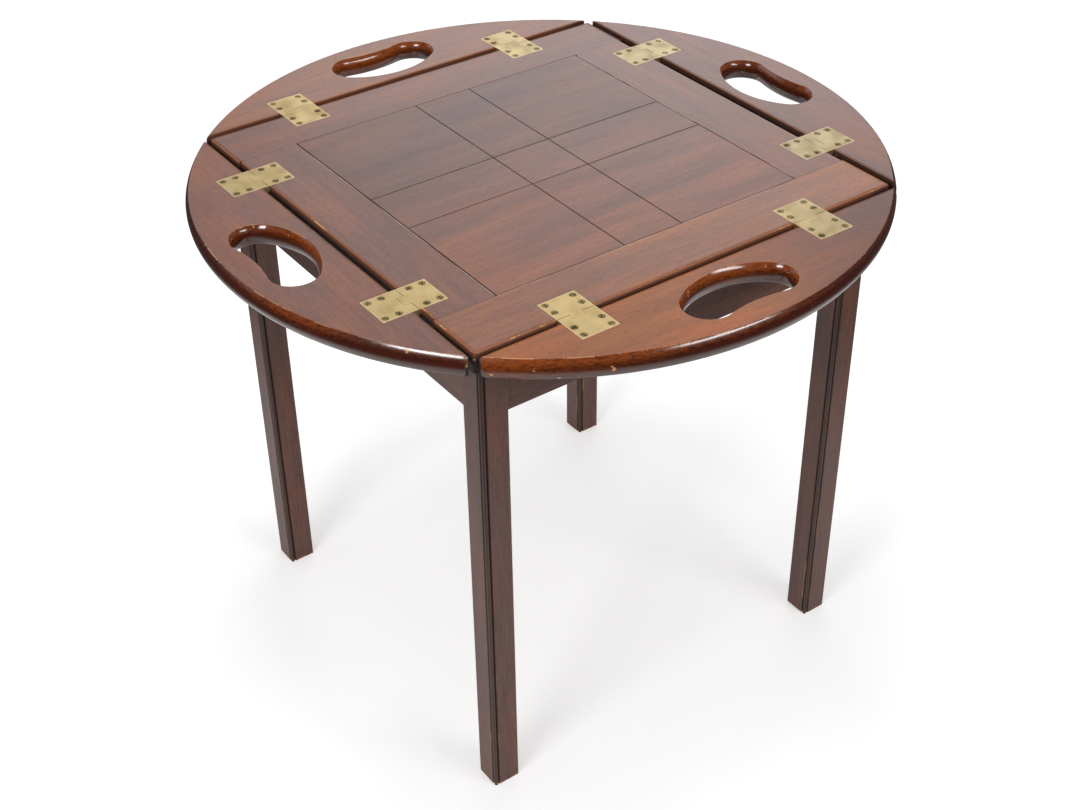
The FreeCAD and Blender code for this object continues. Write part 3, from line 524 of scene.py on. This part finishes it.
def knocks(tree, xyz, chips):
    """How chipped an edge is: more toward the corner at the front left, most at its tip."""
    near_corner = plus(tree, xyz["X"], xyz["Y"])
    near = ease(tree, near_corner, -0.40, 0.1, chips, chips * 0.3)
    return plus(tree, near, fade(tree, near_corner, -0.47, -0.42, chips * 0.5))


def seam_rub_and_highlight(tree, place, xyz, along, seam):
    """A mask of the pale broken line where a rail or a stile meets the panel: partly rub, partly a
    painted highlight on its edge.
    """
    inward = unsigned(tree, xyz["X" if along == "Y" else "Y"])
    beside_panel = fade(tree, unsigned(tree, xyz[along]), PANEL_HALF - 0.003, PANEL_HALF, 0.4)
    broken = ease(tree, cloud(tree, place, (18, 60, 60)), 0.44, 0.58)
    rubbed = times(tree, beside_panel, broken)
    return times(tree, rubbed, fade(tree, inward, seam + 0.0005, seam + 0.0011))


def dark_joint(tree, xyz, along, joint):
    """A mask of the dark line where a stile butts against a rail."""
    line = ease(tree, unsigned(tree, xyz[along]), joint - 0.0009, joint - 0.0005)
    return times(tree, line, 0.85)


def polish_edges(tree, surface, edge, in_gap, rough, relief):
    """A clear coat on the edges, dull in the gaps; returns the roughness and the relief with it."""
    polish = times(tree, times(tree, edge["Side"], all_but(tree, in_gap, 0.6)), EDGE_POLISH)
    upper_coat = times(tree, polish, all_but(tree, edge["Under"], 0.85))
    tree.links.new(upper_coat, surface.inputs["Coat Weight"])
    surface.inputs["Coat Roughness"].default_value = EDGE_GLOSS
    gloss = number_mix(tree, polish, rough, EDGE_GLOSS)
    dulled = larger(tree, gloss, times(tree, in_gap, GAP_DULLNESS))
    return dulled, times(tree, relief, all_but(tree, polish))


print("helpers for the top ready")

# %% Make the finish of the top
# SEAM_RUB_AND_HIGHLIGHT is partly rub, partly painted highlight.
BARE_WOOD, SEAM_RUB_AND_HIGHLIGHT, GROOVE_BROWN = shade(206, 150, 96), shade(222, 186, 160), shade(52, 31, 24)


def lacquered(name, along, board, stripe, streak, chips,
              polished=True, joint=None, seam=None, fades_to=None):
    """Stained and lacquered wood, with its grain along X, Y or Z."""
    finish, tree, surface = new_finish(name)
    place, xyz = along_grain(tree, along)
    dark, light = board_tones(tree, xyz, board, fades_to)
    grain = use(tree, GRAIN, {"Place": place, "Dark": dark, "Light": light,
                              "Stripe": stripe, "Streak": streak})
    edge = use(tree, EDGES, {"Chips": knocks(tree, xyz, chips)})
    scuff = use(tree, SCUFFS, {"Place": place, "Amount": 0.5})["Scuff"]
    rough = plus(tree, times(tree, grain["Fibre"], 0.12), SATIN)
    relief = minus(tree, times(tree, grain["Fibre"], 0.35), grain["Pore"])
    edge_colour = GROOVE_BROWN
    if polished:
        edge_colour, in_gap = edge_stain_and_shade(tree, xyz, edge)
        rough, relief = polish_edges(tree, surface, edge, in_gap, rough, relief)
    colour = colour_mix(tree, edge["Side"], grain["Color"], edge_colour)
    if seam:
        # A pale broken line beside the panel: partly rub, partly painted highlight.
        colour = colour_mix(tree, seam_rub_and_highlight(tree, place, xyz, along, seam), colour, SEAM_RUB_AND_HIGHLIGHT)
    if joint:
        colour = colour_mix(tree, dark_joint(tree, xyz, along, joint), colour, GAP_SHADE)
    marks = larger(tree, edge["Wear"], scuff)
    tree.links.new(colour_mix(tree, marks, colour, BARE_WOOD), surface.inputs["Base Color"])
    tree.links.new(plus(tree, rough, times(tree, marks, 0.4)), surface.inputs["Roughness"])
    chipped = minus(tree, relief, times(tree, edge["Wear"], 3.0))
    bump = put(tree, "Bump", {"Strength": 0.25, "Distance": 0.0001, "Height": chipped})
    tree.links.new(bump.outputs[0], surface.inputs["Normal"])
    return finish


print("lacquer ready")

# %% [markdown]
# The boards differ in tone: the front leaf is amber and turns dusky to the right, rails and back
# leaf are redder, stiles and side leaves browner, and the panel is a little shadier at the back.

# %% Cut the boards of the top
BROWN_BOARD = shade(86, 54, 44), shade(150, 101, 82)
RED_BOARD = shade(98, 59, 42), shade(172, 116, 85)
AMBER_BOARD = shade(108, 54, 20), shade(186, 107, 44)
DUSKY_BOARD = shade(64, 33, 21), shade(118, 69, 48)
PANEL_BOARD = shade(92, 56, 42), shade(160, 105, 80)
SHADY_BOARD = shade(76, 48, 41), shade(130, 88, 75)
panel_finish = lacquered("panel_mahogany", "X", PANEL_BOARD, 0.5, 0.35, 0.3, polished=False,
                         fades_to=(SHADY_BOARD, "Y", -0.16, 0.08))
stile_finish = lacquered("stile_mahogany", "Y", BROWN_BOARD, 0.3, 0.42, 0.7, joint=0.170, seam=0.168)
rail_finish = lacquered("rail_mahogany", "X", RED_BOARD, 0.3, 0.42, 0.7, seam=0.170)
back_rail_finish = lacquered("back_rail_mahogany", "X", BROWN_BOARD, 0.3, 0.42, 0.7)
front_leaf_finish = lacquered("front_leaf_mahogany", "X", AMBER_BOARD, 0.3, 0.5, 1.0,
                              fades_to=(DUSKY_BOARD, "X", -0.06, 0.2))
back_leaf_finish = lacquered("back_leaf_mahogany", "X", RED_BOARD, 0.3, 0.42, 1.0)
cross_leaf_finish = lacquered("cross_leaf_mahogany", "Y", BROWN_BOARD, 0.3, 0.42, 1.0)
print("finishes of the top:", panel_finish.name, rail_finish.name, stile_finish.name)

# %% [markdown]
# ## The stand
# Legs and aprons are stained darker than the top, on the same grain. Each leg has a bead between
# two narrow quirks on its front left edge, and there the colour is darkened nearly to black, partly
# as gathered stain and partly as painted shade.
# Beside the quirks, near the feet, the lacquer is rubbed through in thin pale streaks, and the feet
# are knocked pale. These marks could be painted on each leg, but a leg is square and upright, so its
# own axis and the height above the floor place them on all four.

# %% Make the finish of the stand
STAND_DARK, STAND_LIGHT = shade(60, 35, 29), shade(128, 85, 72)
# QUIRK_STAIN_AND_SHADE is gathered stain and painted shade round the bead.
QUIRK_STAIN_AND_SHADE, RUBBED_LEG = shade(48, 27, 20), shade(176, 130, 84)
LEG_AXIS = 0.205
QUIRK_STARTS, QUIRK_FULL = 0.0078, 0.0092
STREAK_STARTS, STREAK_ENDS = (0.0074, 0.0082), (0.0088, 0.0094)


def leg_masks(tree, place, xyz):
    """Masks of the darkening round the bead, gathered stain and painted shade, and of the rubbed places
    on a leg.
    """
    toward_bead = []
    for axis in "XY":
        own_axis = times(tree, sign_of(tree, xyz[axis]), LEG_AXIS)
        toward_bead.append(minus(tree, own_axis, xyz[axis]))
    along_face = smaller(tree, *toward_bead)
    # Painted shade with gathered stain: the corner round the bead and its quirks is darkened.
    bead_stain_and_shade = ease(tree, along_face, QUIRK_STARTS, QUIRK_FULL)
    beside = between(tree, along_face, STREAK_STARTS, STREAK_ENDS)
    rubbed = ease(tree, cloud(tree, place, (22, 90, 90)), 0.55, 0.68)
    streaks = times(tree, times(tree, beside, rubbed), fade(tree, xyz["Z"], 0.02, 0.2))
    knocked = ease(tree, even_cloud(tree, place, 300), 0.45, 0.6)
    foot = times(tree, fade(tree, xyz["Z"], 0.0005, 0.004), knocked)
    return times(tree, bead_stain_and_shade, 0.7), larger(tree, streaks, foot)


def stand_finish(name, along, is_leg):
    """Dark stained wood with a satin lacquer."""
    finish, tree, surface = new_finish(name)
    place, xyz = along_grain(tree, along)
    grain = use(tree, GRAIN, {"Place": place, "Dark": STAND_DARK, "Light": STAND_LIGHT,
                              "Stripe": 0.3, "Streak": 0.6})
    colour = grain["Color"]
    marks = use(tree, SCUFFS, {"Place": place, "Amount": 0.35})["Scuff"]
    if is_leg:
        bead_stain_and_shade, rubbed = leg_masks(tree, place, xyz)
        colour = colour_mix(tree, bead_stain_and_shade, colour, QUIRK_STAIN_AND_SHADE)
        marks = larger(tree, marks, rubbed)
    tree.links.new(colour_mix(tree, marks, colour, RUBBED_LEG), surface.inputs["Base Color"])
    sheen = plus(tree, times(tree, grain["Fibre"], 0.16), SATIN)
    tree.links.new(plus(tree, sheen, times(tree, marks, 0.3)), surface.inputs["Roughness"])
    relief = minus(tree, times(tree, grain["Fibre"], 0.5), grain["Pore"])
    bump = put(tree, "Bump", {"Strength": 0.3, "Distance": 0.00012, "Height": relief})
    tree.links.new(bump.outputs[0], surface.inputs["Normal"])
    return finish


leg_finish = stand_finish("leg_mahogany", "Z", True)
long_apron_finish = stand_finish("apron_mahogany_x", "X", False)
cross_apron_finish = stand_finish("apron_mahogany_y", "Y", False)
print("finishes of the stand:", leg_finish.name, long_apron_finish.name, cross_apron_finish.name)

# %% [markdown]
# ## Hidden wood
# The corner blocks and the battens under the tray are never seen in use. They are plain beech,
# sawn and sanded, with a thin coat of stain and no lacquer, so they are paler and quite dull. They
# could share the finish of the stand, but no maker polishes what is out of sight.

# %% Make the finish of the hidden wood
BEECH_DARK, BEECH_LIGHT, SAW_MARK = shade(104, 68, 46), shade(172, 124, 84), shade(92, 60, 42)
DULL = 0.55


def sawn_finish(name, along):
    """Sawn wood, with saw marks across the grain."""
    finish, tree, surface = new_finish(name)
    place = along_grain(tree, along)[0]
    grain = use(tree, GRAIN, {"Place": place, "Dark": BEECH_DARK, "Light": BEECH_LIGHT,
                              "Stripe": 0.2, "Streak": 0.6})
    sawn = cloud(tree, place, (420, 30, 30), 1.0)
    colour = colour_mix(tree, times(tree, sawn, 0.25), grain["Color"], SAW_MARK)
    tree.links.new(colour, surface.inputs["Base Color"])
    rough = plus(tree, times(tree, grain["Fibre"], 0.2), DULL)
    tree.links.new(rough, surface.inputs["Roughness"])
    relief = plus(tree, sawn, grain["Fibre"])
    bump = put(tree, "Bump", {"Strength": 0.4, "Distance": 0.0002, "Height": relief})
    tree.links.new(bump.outputs[0], surface.inputs["Normal"])
    return finish


block_finish, batten_finish = sawn_finish("sawn_beech_z", "Z"), sawn_finish("sawn_beech_x", "X")
print("hidden wood:", block_finish.name, batten_finish.name)

# %% [markdown]
# ## Brass and steel
# The hinges are solid brass, filed flush with the wood, rubbed by years of hands to a pale satin and
# clouded where they were not. A highlight is painted on their borders, and the plates on the right
# are painted darker and greyer, as shade and a veil of reflection. The hinge screws are the same
# metal gone olive, with grime in the slots. Each metal could have its own noise, but clouds and fine
# scratches are the same on all of them, so a shared group makes both.

# %% Make the group for handled metal
def make_handled():
    group, given, made = node_group(
        "handled metal", {"Bright": "Color", "Dull": "Color", "Clouds": "Float"},
        {"Color": "Color", "Roughness": "Float", "Scratch": "Float"})
    place = put(group, "TexCoord").outputs["Object"]
    tarnish = ease(group, even_cloud(group, place, 55, 4.0), 0.35, 0.75)
    rubbed = cloud(group, place, (1900, 90, 90))
    crossed = cloud(group, place, (120, 1500, 120))
    scratch = ease(group, larger(group, rubbed, crossed), 0.55, 0.75)
    share = times(group, tarnish, given["Clouds"])
    colour = colour_mix(group, share, given["Bright"], given["Dull"])
    rough = plus(group, times(group, tarnish, 0.14), 0.4)
    rough = plus(group, rough, times(group, scratch, 0.08))
    for name, result in (("Color", colour), ("Roughness", rough), ("Scratch", scratch)):
        group.links.new(result, made[name])
    return group


HANDLED = make_handled()
print("metal group with", len(HANDLED.nodes), "nodes")

# %% Make the metals
PLATE_ACROSS, PLATE_ALONG = (0.233, 0.0315), (0.130, 0.019)
BORDER_INSIDE = 0.0004, 0.0011
# BORDER_HIGHLIGHT is a painted highlight; SHADED_BRASS is painted shade and veil for plates on the
# right.
BORDER_HIGHLIGHT, SHADED_BRASS, GRIME = shade(240, 216, 170), shade(176, 159, 127), shade(34, 28, 18)
GRIME_LINE = 0.5246


def plate_border(tree, xyz):
    """A mask of the outer millimetre of the hinge plates, where a highlight is painted, from their
    middles and half widths.
    """
    across = [unsigned(tree, xyz[axis]) for axis in "XY"]
    inside = []
    for choose, (middle, half) in ((larger, PLATE_ACROSS), (smaller, PLATE_ALONG)):
        off = minus(tree, choose(tree, *across), middle)
        inside.append(minus(tree, half, unsigned(tree, off)))
    return fade(tree, smaller(tree, *inside), *BORDER_INSIDE, 0.55)


def metal(name, bright, dull, clouds, grime_below=None, shaded_to=None):
    """A worn metal; below a height, in metres, grime fills the slots; a plate can get painted shade
    toward the right and a painted highlight on its border.
    """
    finish, tree, surface = new_finish(name)
    worn = use(tree, HANDLED, {"Bright": bright, "Dull": dull, "Clouds": clouds})
    colour, rough = worn["Color"], worn["Roughness"]
    surface.inputs["Metallic"].default_value = 1.0
    xyz = put(tree, "SeparateXYZ", {0: put(tree, "TexCoord").outputs["Object"]}).outputs
    if shaded_to:
        # Painted shade and veil: the plates turn darker and greyer toward the right.
        colour = colour_mix(tree, ease(tree, xyz["X"], 0.0, 0.22, 0.0, 0.7), colour, shaded_to)
        # Painted highlight on the border of each plate.
        colour = colour_mix(tree, plate_border(tree, xyz), colour, BORDER_HIGHLIGHT)
    if grime_below:
        grime = fade(tree, xyz["Z"], grime_below - 0.0002, grime_below)
        colour = colour_mix(tree, grime, colour, GRIME)
        rough = larger(tree, rough, times(tree, grime, 0.7))
        tree.links.new(all_but(tree, grime, 0.8), surface.inputs["Metallic"])
    tree.links.new(colour, surface.inputs["Base Color"])
    tree.links.new(rough, surface.inputs["Roughness"])
    bump = put(tree, "Bump", {"Strength": 0.15, "Distance": 0.00003, "Height": worn["Scratch"]})
    tree.links.new(bump.outputs[0], surface.inputs["Normal"])
    return finish


hinge_finish = metal("satin_brass", shade(214, 187, 131), shade(189, 163, 111), 0.7, shaded_to=SHADED_BRASS)
screw_finish = metal("olive_brass", shade(150, 130, 82), shade(96, 82, 52), 0.9, grime_below=GRIME_LINE)
steel_finish = metal("grey_steel", shade(150, 150, 148), shade(96, 92, 86), 0.8)
print("metals:", hinge_finish.name, screw_finish.name, steel_finish.name)

# %% [markdown]
# ## Finishes onto pieces
# Every CAD piece keeps its shape and gets its finish here. A list of all the pieces would do, but the
# words in their names already say what they are. The leaves and aprons at the front and back have
# their grain from left to right, the other two from front to back.

# %% Give each piece its finish
def finish_for(name):
    """The finish of a CAD piece; what has no line here is a steel screw."""
    lengthwise = name.endswith(("front", "back"))
    if name.startswith("leg_"):
        return leg_finish
    if name.startswith("apron_"):
        return long_apron_finish if lengthwise else cross_apron_finish
    if name in ("leaf_left", "leaf_right"):
        return cross_leaf_finish
    if name.startswith("hinge_"):
        return hinge_finish
    if name.startswith("corner_block_") and not name.endswith("screws"):
        return block_finish
    if name.endswith("hinge_screws"):
        return screw_finish
    known = {"leaf_front": front_leaf_finish, "leaf_back": back_leaf_finish, "tray_panel": panel_finish,
             "tray_rail_front": rail_finish, "tray_rail_back": back_rail_finish,
             "tray_stile_left": stile_finish, "tray_stile_right": stile_finish,
             "tray_batten_front": batten_finish, "tray_batten_back": batten_finish}
    return known.get(name, steel_finish)


for name, piece in nodes.items():
    for slot in piece.material_slots:
        slot.material = finish_for(name)
print("finishes given to", len(nodes), "pieces")

# %% [markdown]
# ## Slotted screws
# Each hinge is held by eight slotted screws, sunk flush, and no two slots point the same way. Below
# the tray, flush steel screws hold the battens and round-headed ones the corner blocks. The CAD
# screws are plain turned shapes. A bump could draw the slots on them, but it would be lost in the
# mesh, so each kind is modelled with a lathe profile and a saw cut, then copied to the place of every
# CAD screw with a turn of its own.

# %% Model the slotted screws
LATHE_STEPS = 32
SOFT_EDGE, SHARP_ANGLE = 0.0001, math.radians(50)


def turned_mesh(profile):
    """A lathe profile, spun about the upright axis."""
    lathe = bmesh.new()
    points = [lathe.verts.new((radius, 0, height)) for radius, height in profile]
    for first, second in zip(points, points[1:]):
        lathe.edges.new((first, second))
    bmesh.ops.spin(lathe, geom=lathe.verts[:] + lathe.edges[:], axis=(0, 0, 1), cent=(0, 0, 0),
                   angle=2 * math.pi, steps=LATHE_STEPS, use_merge=True)
    bmesh.ops.remove_doubles(lathe, verts=lathe.verts, dist=1e-7)
    bmesh.ops.recalc_face_normals(lathe, faces=lathe.faces)
    turned = bpy.data.meshes.new("turned_screw")
    lathe.to_mesh(turned)
    lathe.free()
    return turned


def saw_mesh(length, width, depth):
    """A block that cuts a slot of this width and depth."""
    saw = bmesh.new()
    bmesh.ops.create_cube(saw, size=1, matrix=Matrix.Diagonal((length, width, depth * 2, 1)))
    cut = bpy.data.meshes.new("saw_cut")
    saw.to_mesh(cut)
    saw.free()
    return cut


def slotted_screw(profile, slot_width, slot_depth):
    """A turned screw, head up at z = 0, with a saw cut across the head."""
    head = max(radius for radius, height in profile)
    screw = bpy.data.objects.new("screw", turned_mesh(profile))
    cutter = bpy.data.objects.new("cutter", saw_mesh(head * 2.4, slot_width, slot_depth))
    for piece in (screw, cutter):
        bpy.context.scene.collection.objects.link(piece)
    slot = screw.modifiers.new("slot", "BOOLEAN")
    slot.object, slot.operation, slot.solver = cutter, "DIFFERENCE", "EXACT"
    soft = screw.modifiers.new("soft", "BEVEL")
    soft.width, soft.segments = SOFT_EDGE, 2
    soft.limit_method, soft.angle_limit = "ANGLE", SHARP_ANGLE
    bpy.context.view_layer.update()
    ready = bpy.data.meshes.new_from_object(screw.evaluated_get(bpy.context.evaluated_depsgraph_get()))
    for piece in (screw, cutter):
        bpy.data.objects.remove(piece)
    return ready


def with_point(head, length):
    """The profile of a head, with a shank and a point below it."""
    shank = head[-1][0]
    return head + ((shank, shank * 1.5 - length), (0, -length))


FLUSH_HEAD = ((0, -0.00012), (0.0028, -0.0001), (0.0032, -0.0002), (0.00325, -0.0004), (0.0016, -0.0019))
ROUND_HEAD = ((0, 0), (0.0018, -0.0003), (0.0034, -0.0011), (0.0045, -0.0022),
              (0.0049, -0.0031), (0.0022, -0.0032))
FLUSH_SLOT, ROUND_SLOT = (0.0009, 0.001), (0.0012, 0.0017)
HINGE_SCREW, BATTEN_SCREW, BLOCK_SCREW = 0.013, 0.0205, 0.033
hinge_screw = slotted_screw(with_point(FLUSH_HEAD, HINGE_SCREW), *FLUSH_SLOT)
batten_screw = slotted_screw(with_point(FLUSH_HEAD, BATTEN_SCREW), *FLUSH_SLOT)
block_screw = slotted_screw(with_point(ROUND_HEAD, BLOCK_SCREW), *ROUND_SLOT)
for screw in (hinge_screw, batten_screw, block_screw):
    print("slotted screw with", len(screw.polygons), "faces")

# %% [markdown]
# The places are read from the CAD mesh: each screw there is one separate island. A head faces up, or
# down under the tray, or toward the middle of the table at the corner blocks.

# %% Find the places of the screws
turns = random.Random(7)


def islands(node):
    """The corner points of each separate solid in a CAD node."""
    shape = bmesh.new()
    shape.from_mesh(nodes[node].data)
    bmesh.ops.remove_doubles(shape, verts=shape.verts, dist=1e-6)
    waiting, found = set(shape.verts), []
    while waiting:
        group, edge = set(), [waiting.pop()]
        while edge:
            vertex = edge.pop()
            group.add(vertex)
            for link in vertex.link_edges:
                other = link.other_vert(vertex)
                if other in waiting:
                    waiting.remove(other)
                    edge.append(other)
        found.append([vertex.co.copy() for vertex in group])
    shape.free()
    return found


def middle_of(points):
    """The middle of the box round some points."""
    low, high = (Vector(pick(point[axis] for point in points) for axis in range(3))
                 for pick in (min, max))
    return (low + high) / 2


def by_place(points):
    return tuple(round(place, 4) for place in middle_of(points))


def screw_spots(node, head_way):
    """The place of each head, the way that it faces and a turn of its slot."""
    spots = []
    for points in sorted(islands(node), key=by_place):
        middle = middle_of(points)
        way = head_way(middle)
        lift = max(point.dot(way) for point in points) - middle.dot(way)
        facing = way.to_track_quat("Z", "Y").to_matrix().to_4x4()
        turn = Matrix.Rotation(turns.uniform(0, math.pi), 4, "Z")
        spots.append(Matrix.Translation(middle + way * lift) @ facing @ turn)
    return spots


def face_up(middle):
    return Vector((0, 0, 1))


def face_down(middle):
    return Vector((0, 0, -1))


def face_inward(middle):
    return Vector((-middle.x, -middle.y, 0)).normalized()


print("ready to find the screws")

# %% [markdown]
# The copies ride on the same bodies as the CAD screws that they replace, so those in a leaf fold
# with it. One mesh holds all the screws of a CAD node.

# %% Put the screws in their places
def screw_piece(name, node, body, pattern, spots, finish, slot_name):
    """All the screws of one CAD node as one piece."""
    joined = bmesh.new()
    for spot in spots:
        copy = pattern.copy()
        copy.transform(spot)
        joined.from_mesh(copy)
        bpy.data.meshes.remove(copy)
    mesh = bpy.data.meshes.new(name)
    joined.to_mesh(mesh)
    joined.free()
    mesh.materials.append(finish)
    for face in mesh.polygons:
        face.use_smooth = False
    piece = bpy.data.objects.new(name, mesh)
    bpy.context.scene.collection.objects.link(piece)
    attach(piece, body)
    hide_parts(node)


BRASS_LOOK, STEEL_LOOK = (screw_finish, "screw_brass"), (steel_finish, "screw_steel")
screw_rows = [("tray_hinge_screws", "tray", hinge_screw, face_up, BRASS_LOOK)]
for side in ("front", "back", "left", "right"):
    screw_rows.append(("leaf_%s_hinge_screws" % side, "leaf_" + side, hinge_screw, face_up, BRASS_LOOK))
screw_rows.append(("batten_screws", "tray", batten_screw, face_down, STEEL_LOOK))
screw_rows.append(("corner_block_screws", "stand", block_screw, face_inward, STEEL_LOOK))
for node, body, pattern, head_way, metal_look in screw_rows:
    spots = screw_spots(node, head_way)
    screw_piece(node.replace("screws", "slotted_screws"), node, body, pattern, spots, *metal_look)
    print(node, len(spots), "screws")
